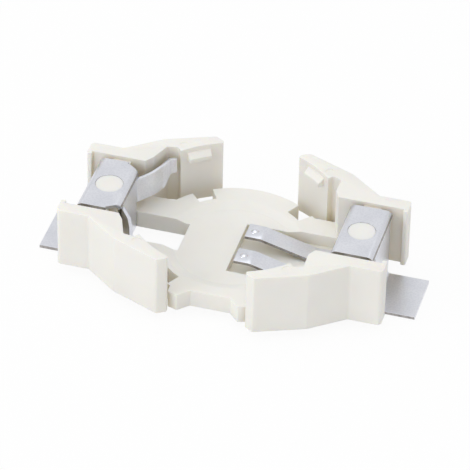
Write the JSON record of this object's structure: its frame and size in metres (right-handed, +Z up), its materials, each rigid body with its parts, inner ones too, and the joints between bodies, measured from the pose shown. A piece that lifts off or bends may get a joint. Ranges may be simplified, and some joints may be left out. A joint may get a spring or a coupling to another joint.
{
  "type": "coin cell holder",
  "caption": "Low surface-mount holder for a small coin cell: open moulded housing with curved wings, sprung side contact and dimpled finger contact.",
  "frame": {"origin": "on the board, at the undersides of the solder tabs, below the centre of the coin cell", "axes": "+X from the positive contact to the negative contact, +Z up from the board, +Y away from the flat front edge of the floor"},
  "size_m": [0.0238, 0.0128, 0.0046],
  "materials": {
    "moulding": "satin off-white moulding",
    "contact_metal": "matt tin plate"
  },
  "bodies": {
    "root": {"housing": "moulding", "positive_contact": "contact_metal", "negative_contact": "contact_metal"}
  },
  "joints": []
}
